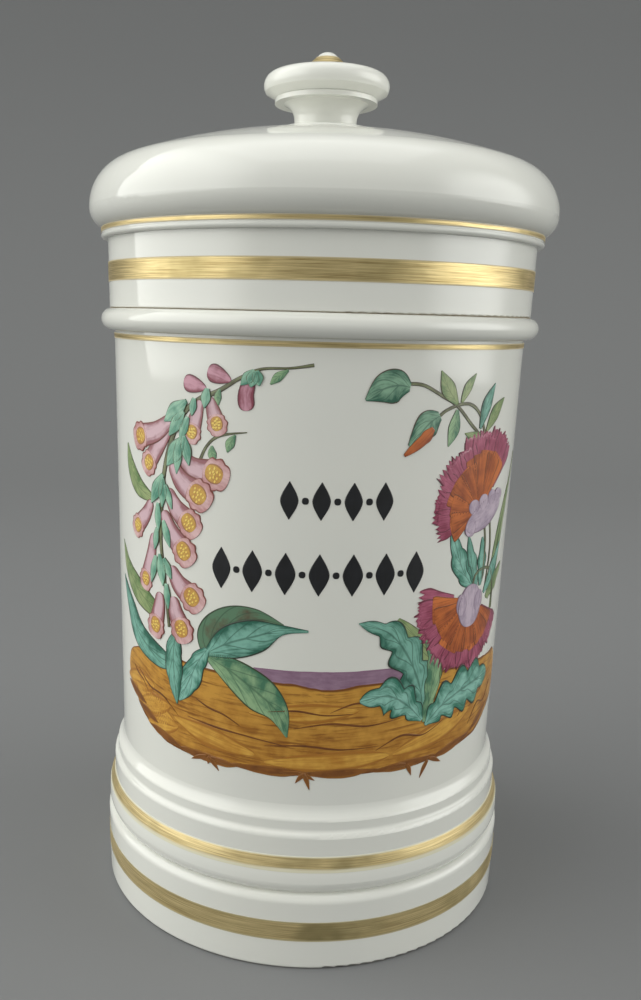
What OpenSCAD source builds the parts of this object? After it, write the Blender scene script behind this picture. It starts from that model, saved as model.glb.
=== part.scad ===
// Porcelain apothecary jar with a lift-off domed lid.
// Everything is turned about Z. The origin is the centre of the foot, on the surface it stands on.
// The painted front of the jar faces -Y.

/* [Jar body] */
// Outside diameter of the straight body
body_d = 136; // [110:1:150]
// Wall thickness of the body
body_wall = 5; // [4:0.5:8]
// Height of the seat that the lid rests on
seat_z = 203.8; // [150:0.1:260]
// Thickness of the floor of the jar
floor_t = 7; // [5:0.5:10]
// Radius of the cove between wall and floor, inside
floor_cove = 10; // [6:1:14]

/* [Foot] */
// How far the plinth stands out from the body
plinth_out = 6.3; // [5.5:0.1:7]
// Height of the plinth, up to the groove above it
plinth_h = 27; // [25:0.1:28]
// Radius of the plinth's upper edge
plinth_round = 2.9; // [1:0.1:3.5]
// Radius of the plinth's lower edge
foot_round = 1.3; // [0.5:0.1:2]
// Width of the unglazed ring that the jar stands on
foot_ring_w = 9; // [7:0.5:11]
// Depth of the hollow under the foot
foot_recess = 5; // [3:0.5:6]

/* [Mouldings above the plinth] */
// How far the bulged ring stands out from the body
bulge_out = 5.8; // [5.6:0.1:6.2]
// Height of the bulged ring's widest circle
bulge_z = 31.3; // [30.8:0.1:31.8]
// Radius of the bulged ring's profile above its widest circle
bulge_upper_r = 18.2; // [17:0.1:20]
// Radius of the bulged ring's profile below its widest circle
bulge_lower_r = 5.1; // [4.8:0.1:5.6]
// How far the lower step stands out from the body
step_out = 3.6; // [3.4:0.1:3.9]
// Height of the lower step's top
step_z = 47.8; // [46.5:0.1:49]
// How far the upper lip stands out from the body
lip_out = 2.2; // [1.9:0.1:2.4]
// Height of the upper lip's top
lip_z = 52.5; // [52:0.1:54]
// Radius of the cove that runs from the upper lip into the body
cove_r = 5; // [3:0.1:6]

/* [Bead and neck] */
// How far the bead under the lid stands out from the body
bead_out = 4.2; // [3.8:0.1:4.6]
// Height of the bead
bead_h = 6.8; // [6:0.1:7.4]
// Height of the neck above the seat, inside the lid
neck_h = 13; // [10:0.5:18]
// Wall thickness of the neck
neck_wall = 4; // [3:0.2:5]
// Radial gap between the neck and the inside of the lid
neck_gap = 1.1; // [0.6:0.1:1.6]

/* [Lid] */
// How far the lid's straight skirt stands out from the body
skirt_out = 1.4; // [1.2:0.1:2]
// Height of the skirt, up to the fine lip under the dome
skirt_h = 20.8; // [20:0.1:24]
// Wall thickness of the skirt
skirt_wall = 4.9; // [4:0.1:5]
// Height of the fine rounded lip under the dome
rim_lip_h = 1.8; // [1.6:0.1:2]
// How far the fine lip stands out from the body
rim_lip_out = 3.5; // [3.2:0.1:4]
// How far the dome stands out from the body at its widest circle
dome_out = 7; // [6.8:0.1:7.4]
// Radius of the dome's rounded shoulder, above its widest circle
dome_shoulder_r = 14.9; // [14:0.1:16]
// Radius of the dome's underside, below its widest circle
dome_under_r = 6.2; // [5.8:0.1:6.8]
// Height of the dome's crown above its widest circle
dome_rise = 24.6; // [23:0.1:27]
// Wall thickness of the dome at its crown
dome_wall = 5; // [4:0.5:7]

/* [Knob] */
// Diameter of the low pad that the knob is fixed to
pad_d = 36.8; // [32:0.2:40]
// Height of the pad's top above the crown of the dome
pad_h = 0.6; // [0.5:0.1:1.5]
// Diameter of the knob's neck
knob_neck_d = 19.9; // [18:0.1:21]
// Diameter of the lip under the knob's cushion
knob_lip_d = 32.6; // [32:0.1:33]
// Largest diameter of the knob's cushion
knob_d = 39.7; // [39:0.1:41]
// Radius of the cushion's rim
knob_rim_r = 3.5; // [3.3:0.1:3.8]
// Height of the pointed finial on the knob
finial_h = 4.8; // [4:0.1:5.4]
// Diameter of the finial's foot
finial_d = 15.4; // [14:0.1:17]

/* [Gilding] */
// Thickness of the fired-on gilding, drawn thicker than the real film
gilt_t = 0.1; // [0.05:0.01:0.2]
// Width of the gilt band round the plinth
plinth_band_w = 7.1; // [4:0.1:9]
// Width of the gilt band round the bulged ring
bulge_band_w = 4.7; // [3:0.1:4.7]
// Width of the fine gilt line under the bead
shoulder_line_w = 1.6; // [1:0.1:2.4]
// Width of the gilt band round the lid's skirt
lid_band_w = 6; // [4:0.1:9]
// Width of the fine gilt line under the dome
rim_line_w = 1.4; // [1:0.1:1.5]
// Running gap inside the fine gilt line under the dome
rim_line_gap = 0.04; // [0.02:0.01:0.06]

/* [Hidden] */
$fn = 180;
overlap = 1;
glaze = [0.93, 0.93, 0.89];
gold = [0.76, 0.62, 0.30];

// jar
body_r = body_d / 2;
inner_r = body_r - body_wall;
plinth_r = body_r + plinth_out;
foot_ring_r = plinth_r - foot_round;
recess_r = foot_ring_r - foot_ring_w;
recess_rim_h = 3;
recess_rim_w = 1;
bulge_r = body_r + bulge_out;
step_r = body_r + step_out;
step_round = 1.8;
step_cove_r = 1.5;
lip_r = body_r + lip_out;
lip_round = 1.2;
bead_round = bead_h / 2;
bead_x = body_r + bead_out - bead_round;
bead_z = seat_z - bead_round;
neck_top_z = seat_z + neck_h;
skirt_r = body_r + skirt_out;
skirt_inner_r = skirt_r - skirt_wall;
neck_r = skirt_inner_r - neck_gap;
mouth_r = neck_r - neck_wall;
neck_lip_r = neck_wall / 2;
shoulder_round = inner_r - mouth_r;
inside_top_z = seat_z - bead_h;
inside_floor_z = foot_recess + floor_t;

// lid
skirt_edge_r = 0.6;
skirt_top_z = seat_z + skirt_h;
rim_lip_r = body_r + rim_lip_out;
rim_lip_top_z = skirt_top_z + rim_lip_h;
dome_r = body_r + dome_out;
shoulder_x = dome_r - dome_shoulder_r;
rim_wall_set_in = 0.2;
rim_wall_r = rim_lip_r - rim_wall_set_in;
rim_wall_h = 1.6;
rim_top_z = rim_lip_top_z + rim_wall_h;
under_x = dome_r - dome_under_r;
dome_z = rim_top_z + sqrt(pow(dome_under_r, 2) - pow(rim_wall_r - under_x, 2));
crown_z = dome_z + dome_rise;
crown_r = crown_radius(shoulder_x, dome_rise, dome_shoulder_r);
lid_inner_round = 12;
lid_inner_drop = 1;
lid_inner_z = dome_z - lid_inner_drop;
inner_crown_rise = crown_z - dome_wall - lid_inner_z;
lid_inner_x = skirt_inner_r - lid_inner_round;
inner_crown_r = crown_radius(lid_inner_x, inner_crown_rise, lid_inner_round);
pad_r = pad_d / 2;
pad_z = crown_z + pad_h;
pad_round = 0.8;

// knob
knob_neck_r = knob_neck_d / 2;
knob_cove_r = 5.2;
knob_stem_h = 3.1;
knob_cove_z = pad_z + knob_stem_h;
knob_lip_r = knob_lip_d / 2;
knob_lip_round = 0.3;
knob_lip_h = 1.2;
knob_lip_z = knob_cove_z + knob_cove_r;
knob_lip_top_z = knob_lip_z + knob_lip_h;
knob_r = knob_d / 2;
knob_rim_x = knob_r - knob_rim_r;
knob_rim_up = 4.8;
knob_rim_z = knob_lip_z + knob_rim_up;
knob_rise = 5.1;
knob_crown_r = crown_radius(knob_rim_x, knob_rise, knob_rim_r);
knob_under_drop = 1.9;
knob_under_z = knob_rim_z - knob_under_drop;
knob_under_r = knob_rim_x + sqrt(pow(knob_rim_r, 2) - pow(knob_under_drop, 2));
knob_top_z = knob_rim_z + knob_rise;
finial_r = finial_d / 2;
finial_sink = 0.3;
finial_foot_z = knob_top_z - finial_sink;
finial_tip_z = knob_top_z + finial_h;
finial_waist_r = 5.8;
finial_waist_up = 1.5;
finial_waist_z = finial_foot_z + finial_waist_up;
finial_tip_r = 4.6;
finial_tip_h = 0.85;
finial_cone_r = 2.66;
finial_cone_z = finial_tip_z - finial_tip_h;

// gilding
plinth_band_z = 10.6;
bulge_band_up = 3.9;
bulge_band_z = bulge_z + bulge_band_up;
shoulder_line_drop = 2.4;
shoulder_line_z = seat_z - bead_h - shoulder_line_drop;
lid_band_up = 7.9;
lid_band_z = seat_z + lid_band_up;
rim_line_up = 0.1;
rim_line_z = rim_lip_top_z + rim_line_up;
finial_band_f = 0.8;

// Radius of a crown arc that blends into a rim arc of radius rim_r, whose centre is x from the axis
function crown_radius(x, rise, rim_r) =
    (x * x + rise * rise - rim_r * rim_r) / (2 * (rise - rim_r));

// A rectangle in the turning plane, from radius r0 to r1 and from height z0 to z1
module slab(r0, r1, z0, z1) {
    translate([r0, z0]) square([r1 - r0, z1 - z0]);
}

// A disc in the turning plane
module disc(x, z, r) {
    translate([x, z]) circle(r);
}

// A step out to radius r, with its upper outside edge rounded
module rounded_step(r, z0, z1, round_r) {
    slab(0, r, z0, z1 - round_r);
    slab(0, r - round_r, z0, z1);
    disc(r - round_r, z1 - round_r, round_r);
}

// A rounded step whose edge flows up through a hollow cove into a wall at radius wall_r
module coved_step(wall_r, r, z0, z1, round_r, hollow_r) {
    rounded_step(r, z0, z1, round_r);
    reach = hollow_r + round_r;
    dx = wall_r + hollow_r - (r - round_r);
    dz = sqrt(reach * reach - dx * dx);
    difference() {
        slab(wall_r - overlap, r - round_r + dx * round_r / reach, z1 - round_r, z1 - round_r + dz);
        disc(wall_r + hollow_r, z1 - round_r + dz, hollow_r);
    }
}

// A low dome: a crown arc that blends into a rim arc
module cushion(x, z, rise, rim_r, crown) {
    tangent_x = x * crown / (crown - rim_r);
    disc(x, z, rim_r);
    intersection() {
        disc(0, z + rise - crown, crown);
        slab(0, tangent_x, z - overlap, z + rise + overlap);
    }
}

module plinth_section() {
    rounded_step(plinth_r, foot_round, plinth_h, plinth_round);
    slab(0, plinth_r - foot_round, 0, plinth_h / 2);
    disc(plinth_r - foot_round, foot_round, foot_round);
}

module bulge_section() {
    intersection() {
        disc(bulge_r - bulge_lower_r, bulge_z, bulge_lower_r);
        slab(0, bulge_r + overlap, plinth_h / 2, bulge_z + overlap);
    }
    intersection() {
        disc(bulge_r - bulge_upper_r, bulge_z, bulge_upper_r);
        slab(0, bulge_r + overlap, bulge_z, step_z);
    }
}

module jar_outline() {
    plinth_section();
    bulge_section();
    coved_step(lip_r, step_r, plinth_h / 2, step_z, step_round, step_cove_r);
    coved_step(body_r, lip_r, plinth_h / 2, lip_z, lip_round, cove_r);
    slab(0, body_r, plinth_h / 2, bead_z);
    slab(0, bead_x, bead_z, seat_z);
    disc(bead_x, bead_z, bead_round);
    slab(0, neck_r, bead_z, neck_top_z - neck_lip_r);
}

module jar_hollow() {
    // inside of the body, coved at the floor and rounded in to the neck
    slab(0, inner_r, inside_floor_z + floor_cove, inside_top_z - shoulder_round);
    slab(0, inner_r - floor_cove, inside_floor_z, inside_top_z);
    disc(inner_r - floor_cove, inside_floor_z + floor_cove, floor_cove);
    disc(inner_r - shoulder_round, inside_top_z - shoulder_round, shoulder_round);
    slab(0, mouth_r, inside_floor_z + floor_cove, neck_top_z);
    // hollow under the foot, rising a little to its centre
    polygon([
        [0, -overlap],
        [recess_r, -overlap],
        [recess_r, 0],
        [recess_r - recess_rim_w, recess_rim_h],
        [0, foot_recess]
    ]);
}

module jar_body() {
    color(glaze) rotate_extrude() {
        difference() {
            jar_outline();
            jar_hollow();
        }
        disc(mouth_r + neck_lip_r, neck_top_z - neck_lip_r, neck_lip_r);
    }
}

module lid_outline() {
    // skirt, with its lower outside edge just rounded
    slab(0, skirt_r, seat_z + skirt_edge_r, skirt_top_z + rim_lip_h);
    slab(0, skirt_r - skirt_edge_r, seat_z, skirt_top_z);
    disc(skirt_r - skirt_edge_r, seat_z + skirt_edge_r, skirt_edge_r);
    // fine lip, gilt wall and dome
    slab(0, rim_lip_r - rim_lip_h / 2, skirt_top_z, rim_lip_top_z);
    disc(rim_lip_r - rim_lip_h / 2, skirt_top_z + rim_lip_h / 2, rim_lip_h / 2);
    slab(0, rim_wall_r, skirt_top_z + rim_lip_h / 2, rim_top_z);
    slab(0, under_x, rim_top_z - overlap, dome_z + overlap);
    intersection() {
        disc(under_x, dome_z, dome_under_r);
        slab(0, dome_r + overlap, rim_top_z - overlap / 2, dome_z + overlap);
    }
    intersection() {
        cushion(shoulder_x, dome_z, dome_rise, dome_shoulder_r, crown_r);
        slab(0, dome_r + overlap, dome_z, crown_z + overlap);
    }
    rounded_step(pad_r, crown_z - dome_wall / 2, pad_z, pad_round);
}

module lid_hollow() {
    slab(0, skirt_inner_r, seat_z - overlap, lid_inner_z);
    intersection() {
        cushion(lid_inner_x, lid_inner_z, inner_crown_rise, lid_inner_round, inner_crown_r);
        slab(0, skirt_inner_r + overlap, lid_inner_z - overlap, crown_z);
    }
}

module lid_shell() {
    color(glaze) rotate_extrude() difference() {
        lid_outline();
        lid_hollow();
    }
}

module lid_knob() {
    color(glaze) rotate_extrude() {
        // neck and the cove that spreads from it to the lip
        slab(0, knob_neck_r, pad_z, knob_lip_z);
        difference() {
            slab(0, knob_neck_r + knob_cove_r, knob_cove_z, knob_lip_z);
            disc(knob_neck_r + knob_cove_r, knob_cove_z, knob_cove_r);
        }
        rounded_step(knob_lip_r, knob_lip_z - knob_lip_round, knob_lip_top_z, knob_lip_round);
        // cushion, on a sloping underside
        polygon([
            [0, knob_lip_top_z],
            [knob_lip_r - knob_lip_round, knob_lip_top_z],
            [knob_under_r, knob_under_z],
            [knob_rim_x, knob_rim_z],
            [0, knob_rim_z]
        ]);
        intersection() {
            cushion(knob_rim_x, knob_rim_z, knob_rise, knob_rim_r, knob_crown_r);
            slab(0, knob_r + overlap, knob_under_z, knob_top_z + overlap);
        }
        finial_section();
    }
}

// Pointed finial with a rounded tip; the same outline, grown a little, carries its gilding
module finial_section(grow = 0) {
    polygon([
        [0, finial_foot_z - overlap],
        [finial_r + grow, finial_foot_z - overlap],
        [finial_r + grow, finial_foot_z],
        [finial_waist_r + grow, finial_waist_z],
        [finial_cone_r + grow, finial_cone_z],
        [0, finial_cone_z]
    ]);
    intersection() {
        disc(0, finial_tip_z - finial_tip_r, finial_tip_r + grow);
        slab(0, finial_cone_r + grow, finial_foot_z, finial_tip_z + overlap);
    }
}

// A gilt band of width w from height z up, on a straight wall of radius r
module straight_band(r, z, w) {
    color(gold) rotate_extrude() slab(r, r + gilt_t, z, z + w);
}

module plinth_gilt_band() straight_band(plinth_r, plinth_band_z, plinth_band_w);

module bulge_gilt_band() {
    color(gold) rotate_extrude() intersection() {
        difference() {
            disc(bulge_r - bulge_upper_r, bulge_z, bulge_upper_r + gilt_t);
            disc(bulge_r - bulge_upper_r, bulge_z, bulge_upper_r);
        }
        slab(step_r, plinth_r, bulge_band_z, bulge_band_z + bulge_band_w);
    }
}

module shoulder_gilt_line() straight_band(body_r, shoulder_line_z, shoulder_line_w);

module lid_gilt_band() straight_band(skirt_r, lid_band_z, lid_band_w);

module lid_rim_gilt_line() straight_band(rim_wall_r + rim_line_gap, rim_line_z, rim_line_w);

module finial_gilt_band() {
    band_top = finial_foot_z + finial_band_f * (finial_cone_z - finial_foot_z);
    color(gold) rotate_extrude() intersection() {
        difference() {
            finial_section(gilt_t);
            finial_section();
        }
        slab(0, finial_r + overlap, finial_foot_z, band_top);
    }
}

jar_body();
lid_shell();
lid_knob();
plinth_gilt_band();
bulge_gilt_band();
shoulder_gilt_line();
lid_gilt_band();
lid_rim_gilt_line();
finial_gilt_band();
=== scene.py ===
"""Porcelain apothecary jar: a turned jar and a loose domed lid, gilt, and painted in enamels."""

import math

import bpy
from mathutils import Euler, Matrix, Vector


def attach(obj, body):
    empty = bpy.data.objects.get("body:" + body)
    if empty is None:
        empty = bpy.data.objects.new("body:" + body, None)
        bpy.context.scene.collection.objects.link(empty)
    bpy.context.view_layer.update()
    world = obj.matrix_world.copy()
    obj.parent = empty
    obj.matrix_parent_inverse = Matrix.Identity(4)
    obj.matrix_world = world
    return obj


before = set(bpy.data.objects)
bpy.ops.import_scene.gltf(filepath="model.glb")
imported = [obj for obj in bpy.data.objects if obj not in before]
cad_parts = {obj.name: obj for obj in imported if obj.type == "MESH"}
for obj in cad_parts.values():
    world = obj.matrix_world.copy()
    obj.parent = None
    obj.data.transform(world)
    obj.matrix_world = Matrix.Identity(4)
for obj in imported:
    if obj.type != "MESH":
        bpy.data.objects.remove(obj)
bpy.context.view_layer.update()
MM = 0.001

# ---- Jar: glazed porcelain ----
# The jar is moulded and turned in hard-paste porcelain, and the lid and knob are made the same way.
# A clear glossy glaze covers them, except where they stood on the kiln shelf or on each other: the
# foot ring, the seat, the lip of the neck and the lower edge of the lid are bare biscuit.


def shade(hex_colour):
    """A hex sRGB colour as the linear colour that the shaders take."""
    channels = [int(hex_colour[i:i + 2], 16) / 255 for i in (1, 3, 5)]
    return tuple(c / 12.92 if c <= 0.04045 else ((c + 0.055) / 1.055) ** 2.4 for c in channels) + (1,)


def add_node(owner, kind, settings=(), links=()):
    """Adds a shader node to a material or the world: its settings, input values and what feeds them."""
    node = owner.node_tree.nodes.new(kind)
    for name, value in dict(settings).items():
        if isinstance(name, str) and name not in node.inputs:
            setattr(node, name, value)
        else:
            node.inputs[name].default_value = value
    for socket, source in dict(links).items():
        owner.node_tree.links.new(source, node.inputs[socket])
    return node


def blend(material, factor, first, second):
    """A colour between two others, each of which is a hex colour or a node's output."""
    node = add_node(material, "ShaderNodeMix", {"data_type": "RGBA"})
    for socket, source in ((0, factor), (6, first), (7, second)):
        if isinstance(source, str):
            node.inputs[socket].default_value = shade(source)
        elif isinstance(source, float):
            node.inputs[socket].default_value = source
        else:
            material.node_tree.links.new(source, node.inputs[socket])
    return node.outputs[2]


def new_material(name):
    """A material with its principled shader, and where the shading point is on the object, in metres."""
    material = bpy.data.materials.new(name)
    material.use_nodes = True
    place = add_node(material, "ShaderNodeTexCoord").outputs["Object"]
    return material, material.node_tree.nodes["Principled BSDF"], place


def paint_node(name, material):
    """Gives a node of the assembly its finished material."""
    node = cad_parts[name]
    node.data.materials.clear()
    node.data.materials.append(material)


def glazed_porcelain(name, bare_zones):
    """Porcelain under clear glaze, bare biscuit in each zone (middle height, half height), in mm."""
    material, shader, place = new_material(name)
    link = material.node_tree.links.new
    # the body is not quite white, and its tone drifts over a few centimetres
    drift = add_node(material, "ShaderNodeTexNoise", {"Scale": 24.0, "Detail": 2.0}, {"Vector": place})
    glaze = blend(material, drift.outputs["Fac"], "#e3e3db", "#dcddd8")
    # a few pinholes and specks of kiln dirt, up to 0.4 mm across
    cells = add_node(material, "ShaderNodeTexVoronoi", {"Scale": 55.0}, {"Vector": place})
    near = add_node(material, "ShaderNodeMath", {"operation": "LESS_THAN", 1: 0.011},
                    {0: cells.outputs["Distance"]})
    pick = add_node(material, "ShaderNodeSeparateColor", (), {"Color": cells.outputs["Color"]})
    chosen = add_node(material, "ShaderNodeMath", {"operation": "GREATER_THAN", 1: 0.72},
                      {0: pick.outputs["Red"]})
    speck = add_node(material, "ShaderNodeMath", {"operation": "MULTIPLY"},
                     {0: near.outputs[0], 1: chosen.outputs[0]})
    glaze = blend(material, speck.outputs[0], glaze, "#4b443a")
    height = add_node(material, "ShaderNodeSeparateXYZ", (), {0: place}).outputs["Z"]
    bare = None
    for middle, half in bare_zones:
        zone = add_node(material, "ShaderNodeMath", {"operation": "COMPARE", 1: middle * MM,
                                                     2: half * MM}, {0: height})
        if bare:
            zone = add_node(material, "ShaderNodeMath", {"operation": "MAXIMUM"},
                            {0: bare, 1: zone.outputs[0]})
        bare = zone.outputs[0]
    grime = add_node(material, "ShaderNodeTexNoise", {"Scale": 160.0, "Detail": 4.0}, {"Vector": place})
    biscuit = blend(material, grime.outputs["Fac"], "#cfc6b2", "#8f7f66")
    link(blend(material, bare, glaze, biscuit), shader.inputs["Base Color"])
    gloss = add_node(material, "ShaderNodeMapRange", {"To Min": 0.07, "To Max": 0.72}, {"Value": bare})
    link(gloss.outputs["Result"], shader.inputs["Roughness"])
    shader.inputs["IOR"].default_value = 1.5
    # the glaze lies in very shallow waves left by turning and by its own flow
    wave = add_node(material, "ShaderNodeTexNoise", {"Scale": 34.0, "Detail": 1.0}, {"Vector": place})
    bump = add_node(material, "ShaderNodeBump", {"Strength": 0.25, "Distance": 0.0004},
                    {"Height": wave.outputs["Fac"]})
    link(bump.outputs["Normal"], shader.inputs["Normal"])
    return material


jar_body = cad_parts["jar_body"]
seat = min(v.co.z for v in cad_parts["lid_shell"].data.vertices) / MM
neck_top = max(v.co.z for v in jar_body.data.vertices) / MM
wall = min(math.hypot(v.co.x, v.co.y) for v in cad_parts["shoulder_gilt_line"].data.vertices)
paint_node("jar_body", glazed_porcelain("jar porcelain", [(0.0, 0.3), (seat, 0.05), (neck_top, 0.7)]))

# ---- Gilding ----
# Every band is brushed on in liquid gold with the piece turning on a wheel, fired and burnished. The
# brush leaves fine streaks round the jar, and a century of dusting has thinned the edges to the glaze.


def gilding(name, fade=0.0, film="#c0b18c", shine=0.92):
    """Brushed gold for one band; fade is how far, in mm, its lower edge is worn away.

    Film is the colour left where the gold is worn through, and shine how metallic the gold still is.
    """
    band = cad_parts[name]
    low = min(v.co.z for v in band.data.vertices)
    high = max(v.co.z for v in band.data.vertices)
    material, shader, place = new_material(name.replace("_", " "))
    link = material.node_tree.links.new
    stretch = add_node(material, "ShaderNodeVectorMath", {"operation": "MULTIPLY", 1: (55, 55, 3600)},
                       {0: place})
    streak = add_node(material, "ShaderNodeTexNoise", {"Scale": 1.0, "Detail": 4.0, "Roughness": 0.65},
                      {"Vector": stretch.outputs[0]})
    patch = add_node(material, "ShaderNodeTexNoise", {"Scale": 45.0, "Detail": 3.0}, {"Vector": place})
    tone = add_node(material, "ShaderNodeMapRange", {"From Min": 0.36, "From Max": 0.66},
                    {"Value": streak.outputs["Fac"]})
    gold = blend(material, tone.outputs["Result"], "#ddca96", "#a28d5e")
    thin = add_node(material, "ShaderNodeMapRange", {"From Min": 0.5, "From Max": 0.75},
                    {"Value": patch.outputs["Fac"]})
    gold = blend(material, thin.outputs["Result"], gold, "#8f8258")
    # how far inside the band the point is, roughened by the brush, decides what is left of the gold
    height = add_node(material, "ShaderNodeSeparateXYZ", (), {0: place}).outputs["Z"]
    above = add_node(material, "ShaderNodeMapRange",
                     {"From Min": low - 0.2 * MM, "From Max": low + (0.7 + fade) * MM}, {"Value": height})
    below = add_node(material, "ShaderNodeMapRange",
                     {"From Min": high + 0.2 * MM, "From Max": high - 0.7 * MM}, {"Value": height})
    inside = add_node(material, "ShaderNodeMath", {"operation": "MINIMUM"},
                      {0: above.outputs["Result"], 1: below.outputs["Result"]})
    worn = add_node(material, "ShaderNodeMath", {"operation": "MULTIPLY", 1: 0.8},
                    {0: streak.outputs["Fac"]})
    kept = add_node(material, "ShaderNodeMath", {"operation": "SUBTRACT"},
                    {0: inside.outputs[0], 1: worn.outputs[0]})
    kept = add_node(material, "ShaderNodeMapRange", {"From Min": 0.0, "From Max": 0.3},
                    {"Value": kept.outputs[0]})
    kept = kept.outputs["Result"]
    link(blend(material, kept, film, gold), shader.inputs["Base Color"])
    metal = add_node(material, "ShaderNodeMath", {"operation": "MULTIPLY", 1: shine}, {0: kept})
    link(metal.outputs[0], shader.inputs["Metallic"])
    gloss = add_node(material, "ShaderNodeMapRange", {"To Min": 0.34, "To Max": 0.5},
                     {"Value": patch.outputs["Fac"]})
    link(gloss.outputs["Result"], shader.inputs["Roughness"])
    bump = add_node(material, "ShaderNodeBump", {"Strength": 0.5, "Distance": 0.00004},
                    {"Height": streak.outputs["Fac"]})
    link(bump.outputs["Normal"], shader.inputs["Normal"])
    paint_node(name, material)


gilding("plinth_gilt_band", 0.3, "#b4a985", 0.5)
gilding("bulge_gilt_band", 1.4, "#d4d0b8", 0.55)
gilding("shoulder_gilt_line")

# ---- Painted ground ----
# The front is painted in overglaze enamels: metal oxides ground in oil, laid on with a soft brush in
# thin overlapping strokes and fired on to the glaze. The strip of earth that the plants grow from is
# ochre, streaked and edged in brown, with a mauve distance behind it.
SHEET_STEP = 0.03 * MM  # from one layer of enamel to the next
SHEET_ROOT = 0.05 * MM  # how deep in the wall the back of every stroke lies
ROW_STEP = 0.6  # mm along a stroke from one row of points to the next
TOOTH_ROWS = 8  # rows for each tooth of a stroke's side
THINNEST = 0.05  # the least half width of a stroke, in mm
SIDE_WAVES = (2, 3, 5, 8, 13)  # the waves that a rough side is made of
BRUSH_SHIFT = (17.3, 5.9)  # mm from the streaks of one stroke to those of the next


def along_curve(points, steps):
    """The places at each step, from 0 to 1, on a smooth curve through the given points."""
    ends = [points[0]] + list(points) + [points[-1]]
    places = []
    for step in steps:
        x = step * (len(points) - 1)
        k = min(int(x), len(points) - 2)
        t = x - k
        a, b, c, d = (Vector(p) for p in ends[k:k + 4])
        places.append(0.5 * (2 * b + (c - a) * t + (2 * a - 5 * b + 4 * c - d) * t * t
                             + (3 * b - a - 3 * c + d) * t ** 3))
    return places


def stroke(sheet, spine, widths, pigment, layer, teeth=0, bite=0.0, fringe=0, fray=0.0, blunt=0.0,
           rough=0.0, columns=8):
    """Adds one stroke of enamel to a sheet: a thin strip along a spine of (round, up) points in mm.

    Widths are half widths at places spread evenly along it. Teeth lobe its sides, leaning ahead, by the
    share bite; fringe frays its end by fray mm; blunt rounds both ends over that share of its length; and
    rough makes its sides uneven, in mm.
    """
    length = sum((Vector(b) - Vector(a)).length for a, b in zip(spine, spine[1:]))
    rows = max(10, int(length / ROW_STEP), teeth * TOOTH_ROWS)
    steps = [0.5 - 0.5 * math.cos(math.pi * i / rows) if blunt else i / rows for i in range(rows + 1)]
    centres = along_curve(spine, steps)
    halves = [w.x for w in along_curve([(w, 0) for w in widths], steps)]
    count = sheet["strokes"]
    outer = wall + layer * SHEET_STEP
    first = len(sheet["verts"])
    for radius in (outer, wall - SHEET_ROOT):
        for i, (t, centre) in enumerate(zip(steps, centres)):
            ahead = (centres[min(i + 1, rows)] - centres[max(i - 1, 0)]).normalized()
            side = Vector((-ahead.y, ahead.x))
            notch = 1 - bite * (1 - math.sin(math.pi * (t * teeth % 1) ** 1.7) ** 0.8) if teeth else 1
            if blunt:
                end = max(1 - t / blunt, 1 - (1 - t) / blunt, 0)
                notch *= math.sqrt(max(1 - end * end, 0))
            half = max(abs(halves[i]) * notch, THINNEST)
            for j in range(columns + 1):
                s = math.sin(math.pi * (j / columns - 0.5))
                tongue = fray * t ** 8 * abs(math.sin(fringe * s * 1.57 + count)) if fringe else 0
                swell = sum(math.sin(k * length * t / 9 + 2 * k * s + count) / k for k in SIDE_WAVES)
                at = centre + side * s * (half + rough * swell * abs(s)) + ahead * tongue
                angle = at.x * MM / wall
                sheet["verts"].append((radius * math.sin(angle), -radius * math.cos(angle), at.y * MM))
                sheet["place"].append(((s + 1) / 2, t))
                sheet["brush"].append((half * s + BRUSH_SHIFT[0] * count,
                                       t * length + BRUSH_SHIFT[1] * count))
    line, back = columns + 1, (rows + 1) * (columns + 1)
    faces = []
    for i in range(rows):
        for j in range(columns):
            a = first + i * line + j
            faces.append((a, a + line, a + line + 1, a + 1))
            faces.append((back + a, back + a + 1, back + a + line + 1, back + a + line))
    rim = [first + j for j in range(columns)] + [first + i * line + columns for i in range(rows)]
    rim += [first + rows * line + columns - j for j in range(columns)]
    rim += [first + (rows - i) * line for i in range(rows)]
    for a, b in zip(rim, rim[1:] + rim[:1]):
        faces.append((a, b, back + b, back + a))
    sheet["faces"] += faces
    sheet["pigments"] += [pigment] * len(faces)
    sheet["smooth"] += [True] * (2 * rows * columns) + [False] * len(rim)
    sheet["strokes"] += 1


def new_sheet():
    """An empty sheet of strokes."""
    return {"verts": [], "faces": [], "place": [], "brush": [], "pigments": [], "smooth": [],
            "strokes": 0}


def fire_sheet(name, sheet, materials):
    """Turns a sheet of strokes into a piece that rides on the jar."""
    mesh = bpy.data.meshes.new(name)
    mesh.from_pydata(sheet["verts"], [], sheet["faces"])
    for layer in ("place", "brush"):
        uv = mesh.uv_layers.new(name=layer)
        for loop in mesh.loops:
            uv.data[loop.index].uv = sheet[layer][loop.vertex_index]
    for material in materials:
        mesh.materials.append(material)
    mesh.polygons.foreach_set("material_index", sheet["pigments"])
    mesh.polygons.foreach_set("use_smooth", sheet["smooth"])
    mesh.update()
    piece = bpy.data.objects.new(name, mesh)
    bpy.context.scene.collection.objects.link(piece)
    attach(piece, "jar")


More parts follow.
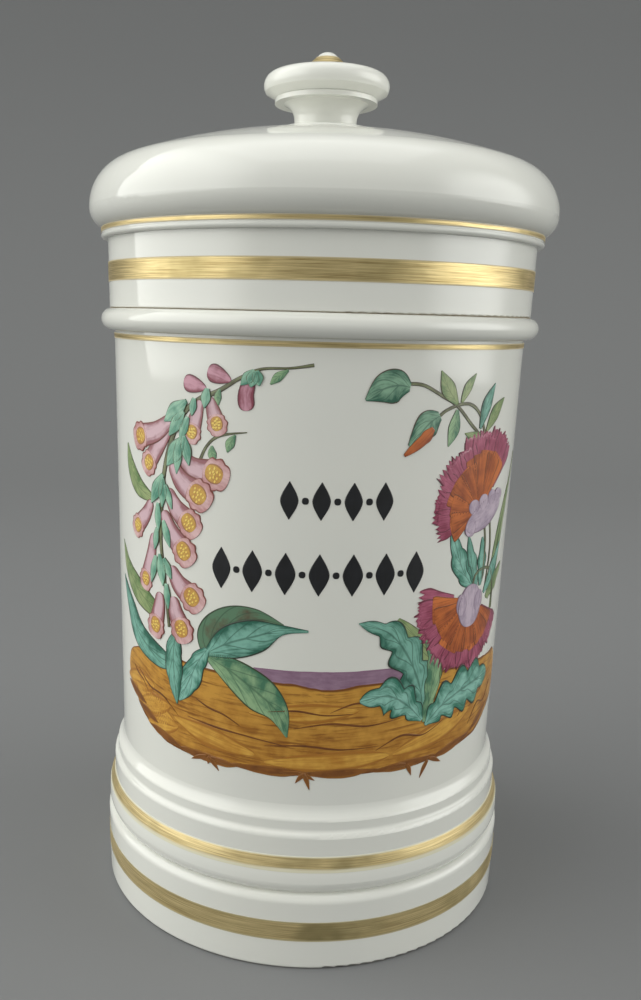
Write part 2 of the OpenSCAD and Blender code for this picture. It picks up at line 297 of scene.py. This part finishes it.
def enamel(name, light, dark, edge, edge_width, streaks, sides=0.0, tilt=0.0, grain=0.0, veins=0.0,
           vein=None):
    """One enamel colour, from light to dark in brush streaks, its strokes outlined in the edge colour.

    Streaks is how close the brush streaks lie across and along, per mm. Sides darkens a stroke to both
    sides and tilt to one side; grain streaks it with the edge colour. Veins is how many pairs of side
    veins it has, drawn with the midrib in the vein colour.
    """
    material, shader, place = new_material(name)
    link = material.node_tree.links.new

    def maths(operation, *values):
        node = add_node(material, "ShaderNodeMath", {"operation": operation})
        for socket, value in enumerate(values):
            if isinstance(value, (int, float)):
                node.inputs[socket].default_value = value
            else:
                link(value, node.inputs[socket])
        return node.outputs[0]

    def ramp(value, low, high):
        node = add_node(material, "ShaderNodeMapRange", {"From Min": low, "From Max": high},
                        {"Value": value})
        return node.outputs["Result"]

    uv = add_node(material, "ShaderNodeUVMap", {"uv_map": "place"}).outputs["UV"]
    where = add_node(material, "ShaderNodeSeparateXYZ", (), {0: uv})
    across, along = where.outputs["X"], where.outputs["Y"]
    off = maths("ABSOLUTE", maths("MULTIPLY_ADD", across, 2.0, -1.0))
    brush = add_node(material, "ShaderNodeUVMap", {"uv_map": "brush"}).outputs["UV"]
    brush = add_node(material, "ShaderNodeVectorMath", {"operation": "MULTIPLY", 1: (*streaks, 1)},
                     {0: brush})
    brush = brush.outputs[0]
    if veins:
        # side veins lean forward, and the brush follows them
        ladder = maths("MULTIPLY_ADD", off, -1.6, maths("MULTIPLY", along, veins))
        follow = add_node(material, "ShaderNodeCombineXYZ", (),
                          {0: maths("MULTIPLY", ladder, 2.3), 1: off})
        brush = add_node(material, "ShaderNodeVectorMath", {"operation": "ADD"},
                         {0: brush, 1: follow.outputs[0]})
        brush = brush.outputs[0]
    streak = add_node(material, "ShaderNodeTexNoise", {"Scale": 1.0, "Detail": 4.0, "Roughness": 0.6},
                      {"Vector": brush}).outputs["Fac"]
    wash = add_node(material, "ShaderNodeTexNoise", {"Scale": 230.0, "Detail": 3.0}, {"Vector": place})
    total = maths("ADD", streak, wash.outputs["Fac"])
    total = maths("MULTIPLY_ADD", maths("MULTIPLY", off, off), sides, total)
    total = maths("MULTIPLY_ADD", across, tilt, total)
    middle = 1.0 + sides / 3 + tilt / 2
    colour = blend(material, ramp(total, middle - 0.22, middle + 0.24), light, dark)
    if grain:
        colour = blend(material, maths("MULTIPLY", ramp(streak, 0.54, 0.66), grain), colour, edge)
    if veins:
        rung = ramp(maths("PINGPONG", ladder, 0.5), 0.08, 0.03)
        lines = maths("MULTIPLY", maths("MAXIMUM", rung, ramp(off, 0.08, 0.03)), 0.6)
        colour = blend(material, lines, colour, vein)
    pool = ramp(off, 1 - edge_width * 1.3, 1 - edge_width * 0.7)
    link(blend(material, pool, colour, edge), shader.inputs["Base Color"])
    shader.inputs["Roughness"].default_value = 0.3
    shader.inputs["IOR"].default_value = 1.55
    bump = add_node(material, "ShaderNodeBump", {"Strength": 0.35, "Distance": 0.00003},
                    {"Height": streak})
    link(bump.outputs["Normal"], shader.inputs["Normal"])
    return material


ground = new_sheet()
# its enamels, in the order that they are given to fire_sheet below
OCHRE, MAUVE, UMBER, BROWN_LINE, PALE_OCHRE = range(5)
# mauve distance, then the earth in overlapping sweeps, then the darker streaks and edges
stroke(ground, [(-22, 98), (-6, 97), (8, 96.5), (32, 98)], [3, 3.8, 4.4, 3], MAUVE, layer=1, rough=0.12,
       columns=6)
stroke(ground, [(-80, 88), (-70, 87), (-57, 83.5), (-40, 82.5), (-12, 81.5), (4, 81), (30, 82),
                (55, 82.5), (72, 85), (82, 87)], [5, 10, 14.5, 15.8, 15, 14.3, 15.3, 14, 11, 8], OCHRE,
       layer=2, blunt=0.06, rough=0.5, columns=20)
for u, z, length, lift, half in ((-62, 79, 24, -4, 4), (-36, 75, 30, -3, 3.6), (2, 71, 40, 1, 3.4),
                                 (40, 76, 34, 4, 4), (-6, 87, 34, 1, 3.2), (58, 87, 26, 5, 5),
                                 (-71, 84.5, 20, 1, 3.8), (-62, 79, 18, 2, 3.6),
                                 (-57, 73.5, 16, 1.6, 3.2)):
    stroke(ground, [(u - length / 2, z - lift), (u, z), (u + length / 2, z + lift)],
           [half * 0.4, half, half * 0.5], PALE_OCHRE, layer=3, blunt=0.4, rough=0.35, columns=12)
for u, z, length, lift in ((-73, 79.6, 14, -2), (-65, 75, 12, -2), (-56, 70, 16, -1.6),
                           (-38, 67.6, 22, -0.6), (-16, 67.3, 26, 0), (6, 67.2, 24, 0.4),
                           (28, 67.6, 24, 0.6), (48, 69, 20, 1.6), (66, 74, 14, 3)):
    stroke(ground, [(u - length / 2, z - lift), (u, z), (u + length / 2, z + lift)], [0.5, 1.5, 0.5],
           UMBER, layer=4, blunt=0.3, rough=0.4, columns=10)
for u, z, length, lift in ((-70, 86, 10, -3), (-60, 84, 22, -5), (-34, 84, 16, -3), (-28, 78, 34, -2),
                           (-4, 87, 26, 0), (8, 83, 34, 1), (0, 75.5, 36, 0), (14, 89.5, 24, 2),
                           (30, 77, 26, 3), (44, 83, 18, 2), (60, 84, 20, 5), (66, 79, 18, 5)):
    stroke(ground, [(u - length / 2, z - lift), (u - length / 6, z + 0.9), (u + length / 6, z - 0.3),
                    (u + length / 2, z + lift)], [0.05, 0.3, 0.22, 0.05], BROWN_LINE, layer=5, rough=0.06,
           columns=4)
for u, z, du, dz in ((-37.5, 68, -6, -2.4), (-37, 68, 4, -4), (-36, 68, 9, -1), (-36.5, 68, -0.5, -2.6),
                     (-4, 67, -9, 0), (-5, 67, -3, -3.4), (-5.5, 67, 2, -5.6), (-7, 67, 5, -2.2),
                     (28, 67.5, -4, 0.6), (28.5, 67.5, 2, -4.4), (37, 67, -3, -5.6),
                     (37.5, 67.5, 5.5, -2.6)):
    stroke(ground, [(u, z), (u + du * 0.5, z + dz * 0.4), (u + du, z + dz)], [0.5, 0.75, 0.05], UMBER,
           layer=5, columns=4)
fire_sheet("painted_ground", ground, [
    # iron-red and antimony yellow, washed together
    enamel("ochre enamel", "#c8943c", "#a06a20", "#74430f", 0.05, (0.9, 0.08), tilt=-0.25, grain=0.7),
    # manganese violet, thin
    enamel("mauve enamel", "#9a7d92", "#84657c", "#7a5870", 0.1, (1.0, 0.2)),
    enamel("umber enamel", "#8a5620", "#6b3d13", "#8f5d22", 0.3, (1.6, 0.2), grain=0.3),
    enamel("brown line enamel", "#7d4a1c", "#5e3413", "#6b3c14", 0.3, (2.0, 0.3)),
    enamel("pale ochre enamel", "#d6a648", "#b57d2a", "#a56d24", 0.3, (1.0, 0.07), grain=0.5),
])

# ---- Leaves ----
# Leaves are laid in copper green, some blued and some yellowed, over a paler wash, then veined and
# outlined in dark green-brown with a fine pen. Those of the
# foxglove are plain and broad; the poppy's are cut.
leaves = new_sheet()
# its enamels, in the order that they are given to fire_sheet below
BLUE_GREEN, OLIVE, SHADED_GREEN, SAGE, TURQUOISE = range(5)
# at the foxglove's left
stroke(leaves, [(-77, 163), (-74.5, 156), (-69, 150.5), (-61, 148)], [0.4, 2.8, 3.2, 1.4], OLIVE, layer=2,
       columns=12)
stroke(leaves, [(-84, 130), (-79, 122), (-70, 116), (-60, 112)], [0.2, 3.0, 4.4, 3], OLIVE, layer=2,
       columns=12)
stroke(leaves, [(-84, 118), (-77, 109), (-70, 101), (-57, 96.5), (-50, 97)], [0.3, 3.4, 4.6, 3.6, 1],
       BLUE_GREEN, layer=3, columns=12)
# at its foot: the back leaf, the long pointed one, the hanging one and the short curled pair
stroke(leaves, [(-37, 101), (-36, 108), (-30, 113.5), (-22, 116), (-13, 114.5)],
       [1.5, 5.4, 5.6, 3.6, 0.8], SHADED_GREEN, layer=4, columns=14)
stroke(leaves, [(-37.5, 103), (-30, 107.5), (-21, 111), (-13.5, 113.5), (-5.5, 113.5)],
       [1.3, 5.2, 5.2, 1.7, 0.35], BLUE_GREEN, layer=5, columns=14)
stroke(leaves, [(-37.5, 102), (-29, 98.5), (-20, 92.5), (-14, 87), (-11, 79)], [1.2, 4.6, 6.0, 3.6, 0.25],
       SAGE, layer=5, columns=14)
stroke(leaves, [(-37.5, 104), (-41, 99), (-45, 91), (-48.5, 84.5)], [1.4, 3.4, 4.0, 0.4], TURQUOISE,
       layer=6, teeth=3, bite=0.16, columns=12)
stroke(leaves, [(-49.5, 107.5), (-51, 100), (-50.5, 91), (-49.5, 83)], [1.2, 3.9, 3.4, 0.2], BLUE_GREEN,
       layer=7, teeth=3, bite=0.14, columns=12)
# the cut leaves under the poppies
stroke(leaves, [(34, 84), (36, 94), (34, 104), (22, 116.5)], [1.2, 4.2, 4.4, 0.8], OLIVE, layer=5,
       teeth=4, bite=0.28, columns=12)
stroke(leaves, [(33.5, 82), (31.5, 93), (26, 104.5), (19, 112.5), (9.5, 116)], [1.2, 6.6, 7.0, 4.6, 0.3],
       BLUE_GREEN, layer=6, teeth=5, bite=0.46, rough=0.15, columns=14)
stroke(leaves, [(34, 81), (36, 91), (36.5, 101), (32.5, 108.5)], [1.0, 3.0, 3.0, 0.4], SAGE, layer=7,
       teeth=4, bite=0.25, columns=12)
stroke(leaves, [(33, 82), (27, 88), (20, 92), (11, 91)], [1.2, 5.6, 6.6, 0.8], TURQUOISE, layer=8,
       teeth=4, bite=0.42, rough=0.15, columns=14)
stroke(leaves, [(34.5, 80), (41, 85), (50, 88), (60, 89), (69, 89)], [1.0, 6.4, 8.6, 8.0, 1.6], TURQUOISE,
       layer=8, teeth=5, bite=0.42, rough=0.15, columns=14)
# between the two poppies
stroke(leaves, [(53, 122), (47, 128), (43, 135), (39.5, 143)], [0.8, 4.0, 3.4, 0.3], TURQUOISE, layer=3,
       teeth=3, bite=0.25, columns=12)
stroke(leaves, [(55, 122), (51, 130), (48, 139.5)], [0.8, 3.2, 0.3], BLUE_GREEN, layer=3, teeth=3,
       bite=0.25)
stroke(leaves, [(57, 122), (57, 130), (56, 138)], [0.8, 3.0, 0.4], TURQUOISE, layer=4, teeth=3, bite=0.25)
stroke(leaves, [(62, 117), (68, 121), (76, 126)], [0.8, 3.4, 0.5], OLIVE, layer=3, teeth=3, bite=0.25)
stroke(leaves, [(60, 119), (66, 126), (71, 134)], [0.8, 3.2, 0.4], TURQUOISE, layer=4, teeth=3, bite=0.25)
for spine in ([(67, 112), (69, 128), (74, 146), (82, 162)], [(64, 116), (66, 130), (70, 142), (75, 152)]):
    stroke(leaves, spine, [0.5, 1.3, 1.2, 0.2], OLIVE, layer=3)
# above the upper poppy
for a, b, half, pigment in (((38, 179.5), (31, 189), 2.6, OLIVE), ((39.5, 180), (45, 188), 1.6, OLIVE),
                            ((49, 172), (55.5, 185), 2.5, BLUE_GREEN),
                            ((52.5, 171), (62.5, 180.5), 2.4, OLIVE),
                            ((38, 178), (35.5, 167.5), 2.3, SAGE), ((53, 169), (42, 171), 1.9, OLIVE)):
    across = Vector((a[1] - b[1], b[0] - a[0])) * 0.05
    stroke(leaves, [a, (Vector(a) + Vector(b)) / 2 + across, b], [0.5, half, 0.15], pigment, layer=5,
           columns=10)
# small leaves on the foxglove's stem and tendril
for a, b, half in (((-13.5, 188.5), (-18.5, 184.5), 1.3), ((-33.5, 182.5), (-34, 178), 1.2),
                   ((-36, 166.5), (-35, 161.5), 1.5), ((-28.5, 170), (-31, 165), 1.5)):
    stroke(leaves, [a, ((a[0] + b[0]) / 2 - 0.4, (a[1] + b[1]) / 2), b], [0.3, half, 0.2], SAGE, layer=4)
fire_sheet("painted_leaves", leaves, [
    enamel("blue-green enamel", "#7fb5a4", "#2a6452", "#2b3428", 0.08, (0.7, 0.1), sides=0.5, tilt=0.25,
           veins=5.0, vein="#245040"),
    enamel("olive enamel", "#9cab78", "#5d7d4b", "#4a4a2c", 0.11, (1.0, 0.12), sides=0.25, tilt=0.2,
           veins=5.0, vein="#586a40"),
    enamel("shaded green enamel", "#5c7f63", "#5a4030", "#33402c", 0.08, (0.5, 0.1), tilt=-0.7, veins=4.0,
           vein="#33503e"),
    enamel("sage enamel", "#93b489", "#43755a", "#39462c", 0.08, (0.7, 0.12), tilt=0.45, veins=5.0,
           vein="#3d6248"),
    enamel("turquoise enamel", "#8fc3b4", "#347662", "#2b3a30", 0.09, (0.7, 0.1), sides=0.5, veins=4.0,
           vein="#2b5b4b"),
])

# ---- Stems ----
# Stems are single strokes of brown-green, darker to one side and outlined with the pen.
stems = new_sheet()
BROWN_GREEN = 0
stroke(stems, [(-6.5, 190), (-13, 189), (-21, 188.5), (-27, 186), (-34, 182), (-41, 179), (-47, 174),
               (-51.5, 166), (-54.5, 157), (-56, 146), (-56.5, 135), (-55, 124), (-53, 108)],
       [0.5, 0.34, 0.42, 0.55, 0.7, 0.8, 0.9, 0.9, 0.9, 0.9, 0.8, 0.8, 0.6], BROWN_GREEN, layer=3,
       columns=4)
stroke(stems, [(-41, 160), (-38, 166), (-33.5, 169.5), (-25, 171)], [0.6, 0.45, 0.45, 0.15], BROWN_GREEN,
       layer=3, columns=4)
for spine in ([(20.5, 185.5), (25.5, 185), (32, 182), (38, 179), (44, 174), (48.5, 170.5), (51, 167)],
              [(31, 176), (34, 178), (39.5, 179.5), (44.5, 179), (49, 175.5), (52.5, 169)],
              [(55, 146), (58, 136), (58, 124)], [(59, 146), (62, 134), (61, 122)],
              [(52, 121), (53.5, 126), (58, 127.5), (64, 126), (67, 120), (68, 112)]):
    stroke(stems, spine, [0.5] * len(spine), BROWN_GREEN, layer=4, columns=4)
fire_sheet("painted_stems", stems, [
    enamel("brown-green enamel", "#7f8562", "#4c4a33", "#3c3424", 0.3, (1.5, 0.2), tilt=0.4),
])

# ---- Foxglove ----
# The foxglove's bells are dusty rose, browned where they turn away, with a paler scalloped lip round a
# yellow throat that is freckled with dots. Green calyces hold them to the stem.
foxglove = new_sheet()
# its enamels, in the order that they are given to fire_sheet below
ROSE, LIP, THROAT, PLUM, FRECKLE, CALYX = range(6)
FRECKLES = 11
FRECKLE_HALF = 0.42  # mm
GOLDEN_ANGLE = 2.4  # radians, which spreads the freckles evenly over the throat


def bell(base, mouth, size, bend, layer):
    """A bell from its base to its mouth: tube, scalloped lip, throat and the freckles in it."""
    base, mouth = Vector(base), Vector(mouth)
    axis = (mouth - base).normalized()
    side = Vector((-axis.y, axis.x))
    middle = (base + mouth) / 2 + side * bend
    stroke(foxglove, [base, middle, mouth, mouth + axis * size * 0.4],
           [size * 0.45, size * 0.74, size * 0.92, size * 1.0], ROSE, layer, blunt=0.12, columns=12)
    # the lip, then the throat in it
    lip = [mouth + axis * size * k for k in (-0.8, 0.15, 1.2)]
    stroke(foxglove, lip, [size * 0.95, size * 1.16, size * 0.95], LIP, layer + 1, teeth=3, bite=0.17,
           blunt=0.36, columns=12)
    throat = [mouth + axis * size * k for k in (-0.62, 0.05, 0.72)]
    stroke(foxglove, throat, [size * 0.66] * 3, THROAT, layer + 2, blunt=0.5)
    for k in range(FRECKLES):
        spin = k * GOLDEN_ANGLE
        way = axis * math.cos(spin) + side * math.sin(spin)
        at = mouth + way * size * 0.15 * math.sqrt(k) + axis * size * 0.08
        stroke(foxglove, [at - side * FRECKLE_HALF, at + side * FRECKLE_HALF], [FRECKLE_HALF] * 2,
               FRECKLE, layer + 3, blunt=0.5, columns=4)


for base, mouth, size, bend, layer in (((-40, 179), (-43, 170), 3.1, 0, 5),
                                       ((-37, 180), (-34.5, 173), 3.1, 0, 5),
                                       ((-52, 170), (-62, 159), 3.7, 0, 5),
                                       ((-50, 173.5), (-66.5, 166.5), 4.1, 1.4, 9),
                                       ((-48, 163), (-35.5, 158.5), 4.5, -1.5, 5),
                                       ((-51, 160), (-41, 152), 4.6, -1.4, 9),
                                       ((-53, 152), (-44.5, 143), 4.3, -1.2, 5),
                                       ((-55, 145), (-46.5, 134), 4.4, -1.0, 9),
                                       ((-61, 147), (-69.5, 138), 3.6, 0.8, 5),
                                       ((-60, 137), (-65, 121.5), 3.5, 0.6, 5),
                                       ((-52, 128), (-43.5, 120), 4.5, -1.2, 5),
                                       ((-51, 118.5), (-47.5, 109), 4.3, -0.6, 9),
                                       ((-57, 118.5), (-59.5, 107.5), 4.0, 0.4, 9)):
    bell(base, mouth, size, bend, layer)
# buds: two at the tip of the spray, one hanging
for base, tip, half in (((-30, 185), (-37.5, 187.5), 2.6), ((-38, 182.5), (-46, 184), 2.5)):
    base, tip = Vector(base), Vector(tip)
    stroke(foxglove, [base, base.lerp(tip, 0.6), tip], [1.2, half, half], PLUM, 5, blunt=0.4, columns=12)
stroke(foxglove, [(-24, 186), (-25.5, 181.5), (-25, 177)], [2.0, 2.4, 2.7], PLUM, 5, blunt=0.35,
       columns=12)
# calyces
for a, b, half in (((-23, 188), (-27, 184), 1.5), ((-23, 188), (-24, 183.5), 1.7),
                   ((-22.5, 188), (-21.5, 184), 1.5), ((-37.5, 182.5), (-38.5, 177), 1.5),
                   ((-42, 179.5), (-43, 174.5), 1.2), ((-45, 178.5), (-54, 172), 2.4),
                   ((-46, 175.5), (-52, 168), 1.9), ((-44.5, 174), (-47.5, 167), 1.4),
                   ((-46, 168), (-53, 159), 2.6), ((-46, 168.5), (-44, 160), 1.7),
                   ((-48, 167), (-49, 157), 1.6), ((-55, 156), (-61, 146.5), 2.2),
                   ((-55, 155), (-55.5, 146), 1.7), ((-54, 153), (-51, 146), 1.3),
                   ((-57.5, 147), (-57.5, 138), 1.4), ((-55, 142), (-52, 134), 1.5),
                   ((-58, 139), (-59.5, 132), 1.3), ((-57, 131), (-55.5, 121), 1.9),
                   ((-55, 130), (-51.5, 124), 1.5), ((-59, 130), (-61.5, 121), 1.4),
                   ((-54, 122), (-53, 114), 1.3)):
    a, b = Vector(a), Vector(b)
    stroke(foxglove, [a, a.lerp(b, 0.5), b], [0.7, half * 1.15, 0.2], CALYX, 12, rough=0.12)
fire_sheet("painted_foxglove", foxglove, [
    enamel("dusty rose enamel", "#d2b3bb", "#97646a", "#77433a", 0.11, (0.8, 0.1), sides=1.0, tilt=0.15),
    enamel("pink lip enamel", "#dcb9b9", "#bd8a8a", "#824338", 0.09, (1.0, 0.3), sides=0.3),
    enamel("yellow throat enamel", "#d3ab54", "#b98344", "#a5764e", 0.16, (2.0, 0.5)),
    enamel("plum enamel", "#c894a4", "#843c4c", "#5e2c36", 0.14, (1.0, 0.16), sides=0.7, tilt=0.3),
    enamel("freckle enamel", "#efd676", "#e4c25a", "#a8752f", 0.22, (2.0, 0.5)),
    enamel("calyx green enamel", "#9ac4ab", "#4a8772", "#54604a", 0.12, (1.2, 0.16), tilt=0.3),
])

# ---- Poppies ----
# Two poppies hang from bent stems. The petals are orange, streaked in brown from the heart outward,
# and end in a torn crimson fringe; the heart is a lavender cup.
poppies = new_sheet()
# its enamels, in the order that they are given to fire_sheet below
ORANGE, CRIMSON, BURNT_ORANGE, LAVENDER, BUD_GREEN = range(5)
# each ring of petals: its near and far ends as shares of the reach, its enamel and its layer
PETAL_RINGS = ((0.4, 1.0, CRIMSON, 7), (0.4, 0.95, CRIMSON, 8), (0.1, 0.8, ORANGE, 9),
               (0.1, 0.77, BURNT_ORANGE, 10))


def poppy(heart, start, stop, reach, petals, fringe_start, fringe_stop):
    """A poppy seen from the side: its petals fan from the heart between two directions, in degrees.

    Reach is how far the fringe gets at either end of the fan, and the fringe keeps to its own directions.
    """
    heart = Vector(heart)
    for ring, (near, far, pigment, layer) in enumerate(PETAL_RINGS):
        fringed = pigment == CRIMSON
        first, last, count = (fringe_start, fringe_stop, petals + 2) if fringed else (start, stop, petals)
        step = (last - first) / (count - 1)
        for k in range(count - ring % 2):
            place = k + 0.5 * (ring % 2)
            angle = math.radians(first + step * place)
            share = (math.degrees(angle) - start) / (stop - start)
            way = Vector((math.cos(angle), math.sin(angle)))
            long = (reach[0] + (reach[1] - reach[0]) * share) * (1 + 0.04 * math.sin(k * 2.7 + ring))
            spread = math.radians(abs(step)) * (0.7 if fringed else 0.6)
            spine = [heart + way * long * x for x in (near, (near + far) / 2, far * 0.9, far)]
            wide = [max(0.8, long * x * spread) for x in (near, (near + far) / 2, far * 0.95, far * 0.9)]
            if fringed:
                stroke(poppies, spine, wide, pigment, layer, fringe=5, fray=2.2, columns=14)
            else:
                stroke(poppies, spine, wide, pigment, layer, blunt=0.12, rough=0.2, columns=14)


poppy((52, 147), 204, 56, (16.5, 24), 7, 194, 50)
poppy((51, 119), 184, 318, (20.5, 23), 6, 176, 322)
# the cups at their hearts
for u, z, du, dz, half in ((46, 142, 20, 7, 4.6), (49.5, 144.5, -2.4, -5, 2.8), (49, 146, 0.4, 4.6, 2.8),
                           (54, 147, 0.6, 4.8, 2.8), (59, 148, 1, 4.6, 2.8), (64, 149, 1, 3.4, 2.8),
                           (51.5, 123.5, 0.4, -14, 6.4), (46.6, 121, 0.6, -7, 2.6),
                           (56.6, 121, -0.8, -7, 2.6)):
    stroke(poppies, [(u, z), (u + du * 0.5, z + dz * 0.5), (u + du, z + dz)],
           [half * 0.8, half, half * 0.9], LAVENDER, 12, blunt=0.5, rough=0.12, columns=10)
# the closed buds: a green calyx, and on one of them the petals breaking out
stroke(poppies, [(21, 184.5), (17.5, 185), (13, 184), (8, 181)], [1.2, 4.4, 4.2, 0.3], BUD_GREEN, 6,
       columns=14)
stroke(poppies, [(29.5, 173), (26.5, 170), (20.5, 165.5)], [0.9, 2.0, 0.5], BURNT_ORANGE, 8, teeth=2,
       bite=0.2, columns=10)
stroke(poppies, [(31.5, 176.5), (27.5, 174), (22, 168)], [1.4, 4.1, 0.8], BUD_GREEN, 6, columns=14)
fire_sheet("painted_poppies", poppies, [
    enamel("orange enamel", "#d0763a", "#a04e20", "#7a3f18", 0.08, (1.3, 0.08), tilt=0.4, grain=0.3),
    enamel("crimson enamel", "#b2607a", "#85324c", "#6a2a3c", 0.1, (2.2, 0.12), tilt=0.2, grain=0.3),
    enamel("burnt orange enamel", "#c26a30", "#8c411c", "#6f3a18", 0.1, (1.4, 0.1), tilt=0.4, grain=0.4),
    enamel("lavender enamel", "#c6b6c4", "#9b8a9f", "#8a7586", 0.08, (1.2, 0.3), sides=0.3),
    enamel("bud green enamel", "#86ad92", "#2b5e4b", "#4a3a2a", 0.06, (0.6, 0.1), sides=0.5, tilt=0.2,
           veins=3.0, vein="#2b5344"),
])

# ---- Black ornament ----
# Two rows of plain ornament in black enamel fill the middle of the front: thick lozenges with round
# dots between them, drawn with a pen and filled with a brush.
ornament = new_sheet()
BLACK = 0
for count, middle, foot, tall, gap in ((4, 1.5, 147, 11, 9.2), (7, -3, 124.5, 12.6, 9.9)):
    for k in range(count):
        u = middle + (k - (count - 1) / 2) * gap
        stroke(ornament, [(u, foot), (u, foot + tall / 2), (u, foot + tall)], [0.1, tall * 0.24, 0.1],
               BLACK, 2, columns=6)
        if k:
            x = u - gap / 2
            stroke(ornament, [(x, foot + tall / 2 - 1), (x, foot + tall / 2 + 1)], [1.0, 1.0], BLACK, 3,
                   blunt=0.5)
fire_sheet("black_ornament", ornament, [
    enamel("black enamel", "#191a1e", "#0e0f12", "#0e0f12", 0.1, (1.0, 0.2)),
])

# ---- Lid ----
# The lid is a separate turned piece of the same porcelain, with its knob luted on before firing. Its
# gilding is a broad band round the skirt, a line under the dome and a touch on the tip of the knob.
lid_porcelain = glazed_porcelain("lid porcelain", [(seat, 0.22)])
paint_node("lid_shell", lid_porcelain)
paint_node("lid_knob", lid_porcelain)
gilding("lid_gilt_band")
gilding("lid_rim_gilt_line")
gilding("finial_gilt_band")

# ---- Floor and backdrop ----
# A sheet of matt pale-grey paper, swept up behind the jar in one curve so that no edge shows.
# In metres: its width, its length, how far it reaches before the jar, its flat part and its bend.
PAPER_WIDE = 6
PAPER_LONG = 5.6
PAPER_FRONT = 2.2
PAPER_FLAT = 3.0
PAPER_BEND = 0.7
bpy.ops.mesh.primitive_grid_add(x_subdivisions=1, y_subdivisions=60, size=1)
sweep = bpy.context.object
sweep.name = "paper_sweep"
for v in sweep.data.vertices:
    run = (v.co.y + 0.5) * PAPER_LONG
    bend = min(max(run - PAPER_FLAT, 0) / PAPER_BEND, math.pi / 2)
    rise = max(run - PAPER_FLAT - PAPER_BEND * math.pi / 2, 0)
    v.co = (v.co.x * PAPER_WIDE, min(run, PAPER_FLAT) - PAPER_FRONT + PAPER_BEND * math.sin(bend),
            PAPER_BEND * (1 - math.cos(bend)) + rise)
paper, paper_shader, _ = new_material("grey paper")
paper_shader.inputs["Base Color"].default_value = shade("#7b7c7d")
paper_shader.inputs["Roughness"].default_value = 0.9
sweep.data.materials.append(paper)
for face in sweep.data.polygons:
    face.use_smooth = True

# ---- Light ----
# A pale room with a broad soft screen at the left of the jar, a narrower one at the right, and a weak
# soft box overhead.
world = bpy.data.worlds.new("pale room")
bpy.context.scene.world = world
world.use_nodes = True
look = add_node(world, "ShaderNodeTexCoord").outputs["Generated"]
glow = add_node(world, "ShaderNodeValue").outputs[0]
glow.default_value = 0.47
for towards, edge, core, strength in (((-0.97, 0.08, 0.22), 0.48, 0.82, 2.35),
                                      ((0.95, -0.18, 0.22), 0.82, 0.98, 3.1)):
    facing = add_node(world, "ShaderNodeVectorMath", {"operation": "DOT_PRODUCT", 1: towards}, {0: look})
    screen = add_node(world, "ShaderNodeMapRange",
                      {"interpolation_type": "SMOOTHSTEP", "From Min": edge, "From Max": core,
                       "To Max": strength}, {"Value": facing.outputs["Value"]})
    glow = add_node(world, "ShaderNodeMath", {"operation": "ADD"},
                    {0: glow, 1: screen.outputs["Result"]}).outputs[0]
background = world.node_tree.nodes["Background"]
background.inputs["Color"].default_value = shade("#fdfefa")
# the screens light the jar, but past the paper's edge only the plain grey of the room is seen
seen = add_node(world, "ShaderNodeLightPath").outputs["Is Camera Ray"]
shown = add_node(world, "ShaderNodeMix", {3: 0.17}, {0: seen, 2: glow}).outputs[0]
world.node_tree.links.new(shown, background.inputs["Strength"])
overhead = bpy.data.lights.new("top_box", "AREA")
overhead.size = 0.9
overhead.energy = 2.3
lamp = bpy.data.objects.new("top_box", overhead)
bpy.context.scene.collection.objects.link(lamp)
lamp.location = (0.0, -0.1, 1.1)
lamp.visible_camera = False
bpy.context.scene.view_settings.view_transform = "Standard"

# ---- Camera ----
# Close to the jar and a little above its middle, a few degrees left of the painted front and rolled
# slightly, with the jar's centre off the lens's axis. The three angles are in degrees.
LOOK_DOWN = 16.8
LOOK_ROUND = -2.95
ROLL = 1.47
camera_data = bpy.data.cameras.new("camera")
camera_data.sensor_width = 36
camera_data.lens = 33.5
camera_data.shift_x = 0.0427
camera_data.shift_y = 0.0965
camera = bpy.data.objects.new("camera", camera_data)
bpy.context.scene.collection.objects.link(camera)
camera.location = (-28.2 * MM, -327.2 * MM, 202.7 * MM)
turned = Euler((math.radians(90 - LOOK_DOWN), 0, math.radians(LOOK_ROUND))).to_matrix()
rolled = Euler((0, 0, math.radians(ROLL))).to_matrix()
camera.rotation_euler = (turned @ rolled).to_euler()
bpy.context.scene.camera = camera
